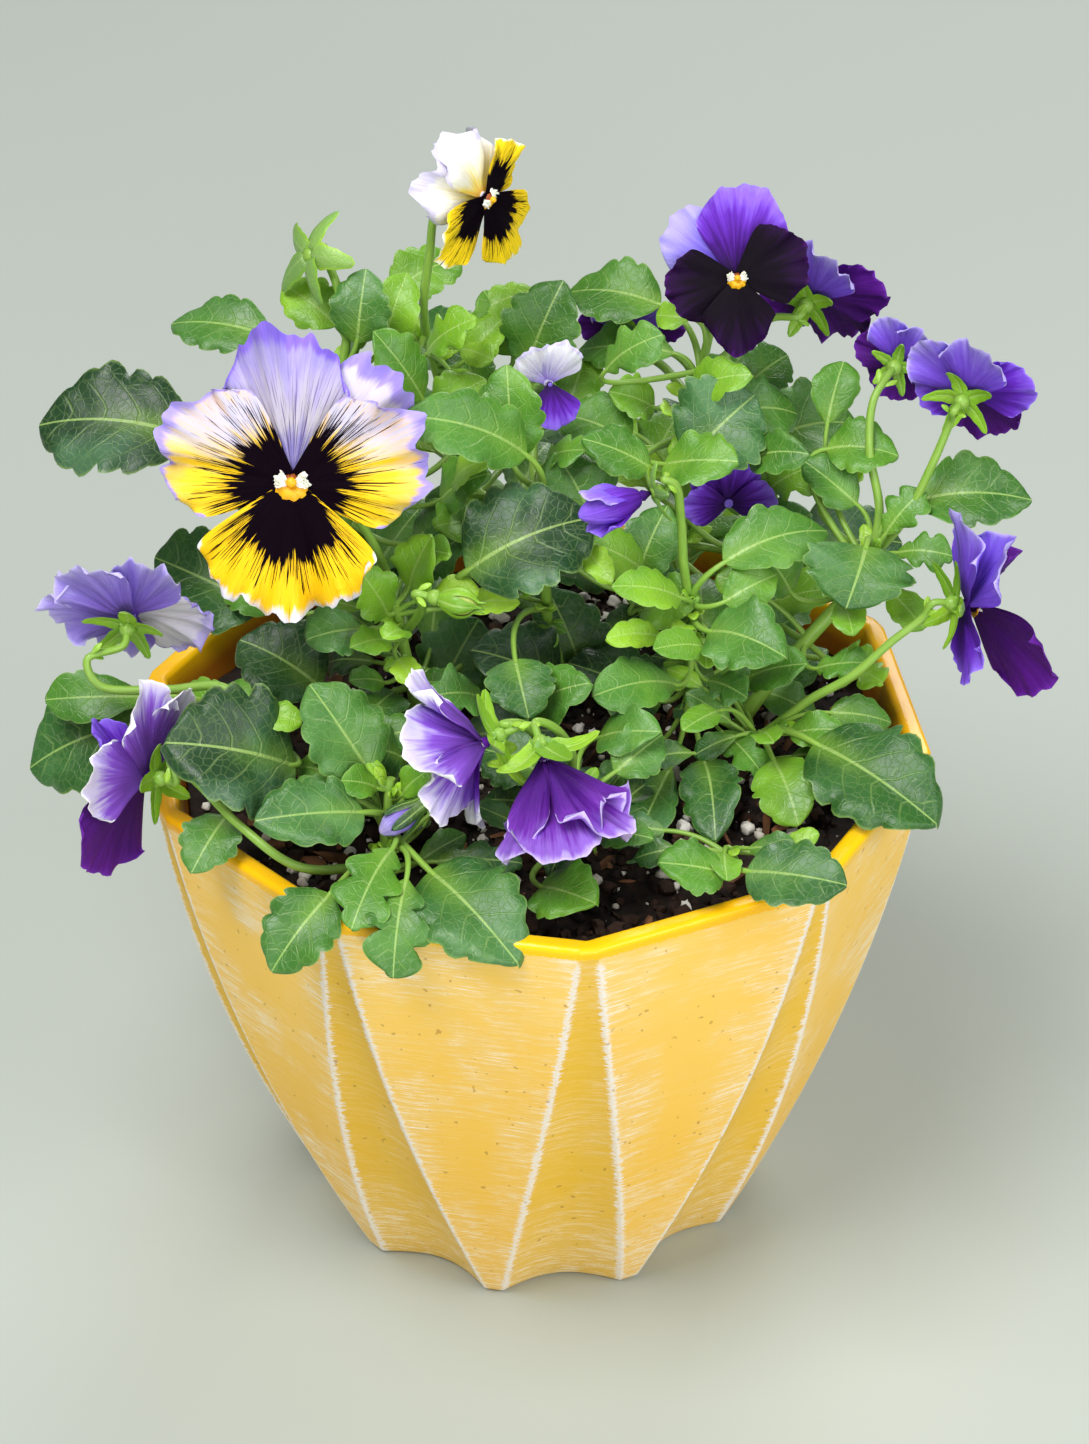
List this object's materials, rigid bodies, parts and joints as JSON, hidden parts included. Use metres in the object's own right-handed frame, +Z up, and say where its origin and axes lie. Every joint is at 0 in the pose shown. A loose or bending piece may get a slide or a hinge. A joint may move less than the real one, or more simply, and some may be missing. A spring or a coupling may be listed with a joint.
{
  "type": "potted pansy planter",
  "caption": "Ten-sided faceted planter pot filled with soil, with leafy pansy plants in bloom.",
  "frame": {"origin": "centre of the pot's flat base", "axes": "+X to the right and +Y to the back as seen from the front, +Z up"},
  "size_m": [0.2832, 0.2424, 0.3102],
  "materials": {
    "pot": "matt ochre glaze rubbed white along the ridges",
    "soil": "rough damp potting mix with perlite and bark",
    "foliage": "satin leaf",
    "petal_yellow": "velvety petal",
    "petal_lavender": "velvety petal",
    "petal_violet": "velvety petal",
    "petal_plum": "velvety petal",
    "petal_black": "velvety petal",
    "petal_white": "velvety petal"
  },
  "bodies": {
    "root": {"bloom_back_behind_lower_petals": "petal_plum", "bloom_back_behind_upper_petals": "petal_violet", "bloom_back_dark_lower_petals": "petal_black", "bloom_back_dark_upper_petals": "petal_violet", "bloom_back_hidden_lower_petals": "petal_plum", "bloom_back_hidden_upper_petals": "petal_violet", "bloom_back_yellow_lower_petals": "petal_yellow", "bloom_back_yellow_upper_petals": "petal_white", "bloom_centre_hidden_upper_petals": "petal_violet", "bloom_centre_white_lower_petals": "petal_violet", "bloom_centre_white_upper_petals": "petal_white", "bloom_front_hanging_upper_petals": "petal_violet", "bloom_front_ruffled_lower_petals": "petal_yellow", "bloom_front_ruffled_upper_petals": "petal_lavender", "bloom_front_side_lower_petals": "petal_violet", "bloom_front_side_upper_petals": "petal_violet", "bloom_left_back_lower_petals": "petal_lavender", "bloom_left_back_upper_petals": "petal_lavender", "bloom_left_side_lower_petals": "petal_plum", "bloom_left_side_upper_petals": "petal_violet", "bloom_right_back_lower_petals": "petal_plum", "bloom_right_back_upper_petals": "petal_violet", "bloom_right_side_lower_petals": "petal_plum", "bloom_right_side_upper_petals": "petal_violet", "bloom_right_small_lower_petals": "petal_plum", "bloom_right_small_upper_petals": "petal_violet", "bud_closed_upper_petals": "petal_lavender", "bud_violet_upper_petals": "petal_violet", "planter": "pot", "soil": "soil", "stem_back": "foliage", "stem_back_left": "foliage", "stem_back_right": "foliage", "stem_centre": "foliage", "stem_front": "foliage", "stem_front_left": "foliage", "stem_front_right": "foliage", "stem_left": "foliage", "stem_mid_left": "foliage", "stem_right": "foliage", "stem_right_front": "foliage", "stem_right_low": "foliage"}
  },
  "joints": []
}
